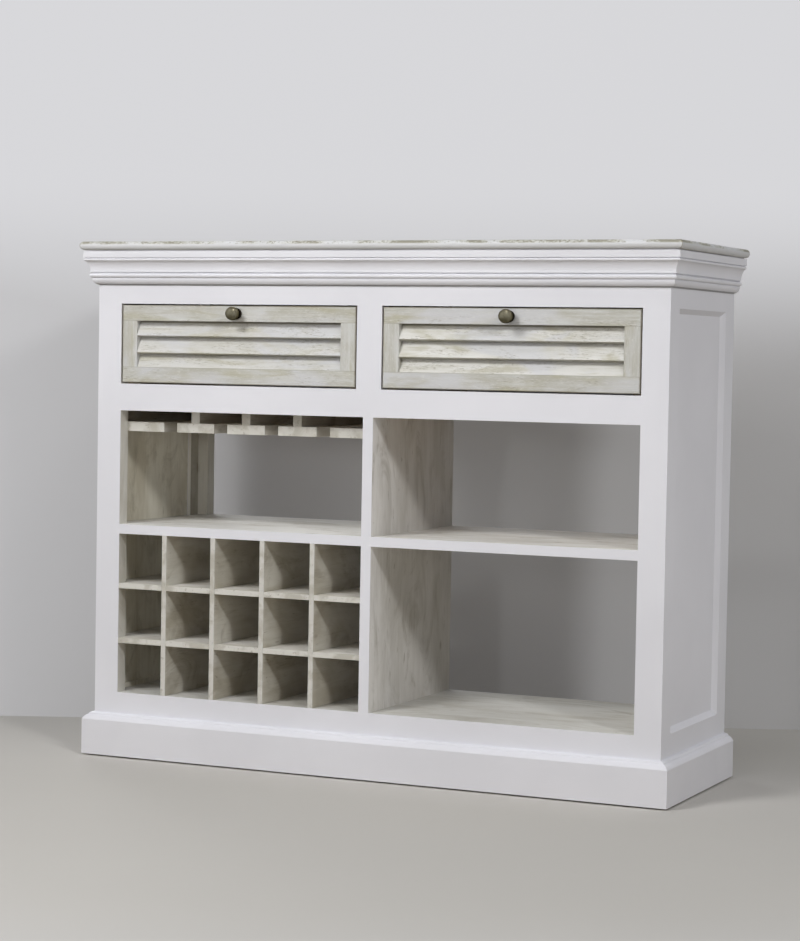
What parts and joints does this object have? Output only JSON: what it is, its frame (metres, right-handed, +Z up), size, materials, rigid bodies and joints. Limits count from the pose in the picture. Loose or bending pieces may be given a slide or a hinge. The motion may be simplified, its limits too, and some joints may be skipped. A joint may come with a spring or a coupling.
{
  "type": "wine cabinet",
  "caption": "Painted wooden wine cabinet with a crown cornice, louvred drawers, a hanging stemware rack, a square bottle grid and open shelved bays on a moulded plinth.",
  "frame": {"origin": "on the floor, under the middle of the overall width and depth, knobs included", "axes": "+X to the right seen from the front, +Y towards the back, +Z up"},
  "size_m": [1.2, 0.4032, 0.984],
  "materials": {
    "white_paint": "satin white paint",
    "whitewash": "brushed whitewash over grain",
    "drawer_wood": "distressed whitewash",
    "raw_wood": "bare, lightly sealed",
    "antique_brass": "aged, dark",
    "steel": "zinc plated",
    "glide_plastic": "matt"
  },
  "bodies": {
    "cabinet": {"top_board": "whitewash", "floor_glides": "glide_plastic", "cornice_front": "white_paint", "cornice_left": "white_paint", "cornice_right": "white_paint", "plinth_front": "white_paint", "plinth_left": "white_paint", "plinth_right": "white_paint", "front_top_rail": "white_paint", "front_mid_rail": "white_paint", "front_bottom_rail": "white_paint", "front_centre_stile": "white_paint", "rear_mid_rail": "white_paint", "rear_bottom_rail": "white_paint", "back_panel": "raw_wood", "front_post_left": "white_paint", "front_post_right": "white_paint", "rear_post_left": "white_paint", "rear_post_right": "white_paint", "side_top_rail_left": "white_paint", "side_top_rail_right": "white_paint", "side_bottom_rail_left": "white_paint", "side_bottom_rail_right": "white_paint", "side_panel_left": "white_paint", "side_panel_right": "white_paint", "bottom_board": "whitewash", "centre_partition": "whitewash", "shelf_left": "whitewash", "shelf_right": "whitewash", "drawer_deck": "raw_wood", "drawer_divider": "raw_wood", "drawer_runners": "raw_wood", "bottle_upright_1": "whitewash", "bottle_upright_2": "whitewash", "bottle_upright_3": "whitewash", "bottle_upright_4": "whitewash", "bottle_shelf_1": "whitewash", "bottle_shelf_2": "whitewash", "stemware_back": "whitewash", "stemware_rail_1": "whitewash", "stemware_rail_2": "whitewash", "stemware_rail_3": "whitewash", "stemware_rail_4": "whitewash", "stemware_rail_5": "whitewash"},
    "left_drawer": {"left_drawer_rails": "drawer_wood", "left_drawer_stiles": "drawer_wood", "left_drawer_louvres": "drawer_wood", "left_drawer_box_sides": "raw_wood", "left_drawer_box_ends": "raw_wood", "left_drawer_bottom": "raw_wood", "left_drawer_knob": "antique_brass", "left_drawer_knob_screw": "steel"},
    "right_drawer": {"right_drawer_rails": "drawer_wood", "right_drawer_stiles": "drawer_wood", "right_drawer_louvres": "drawer_wood", "right_drawer_box_sides": "raw_wood", "right_drawer_box_ends": "raw_wood", "right_drawer_bottom": "raw_wood", "right_drawer_knob": "antique_brass", "right_drawer_knob_screw": "steel"}
  },
  "joints": [
    {"name": "left_drawer_slide", "type": "slide", "parent": "cabinet", "child": "left_drawer", "axis": [0, -1, 0], "range_m": [0, 0.25]},
    {"name": "right_drawer_slide", "type": "slide", "parent": "cabinet", "child": "right_drawer", "axis": [0, -1, 0], "range_m": [0, 0.25]}
  ]
}
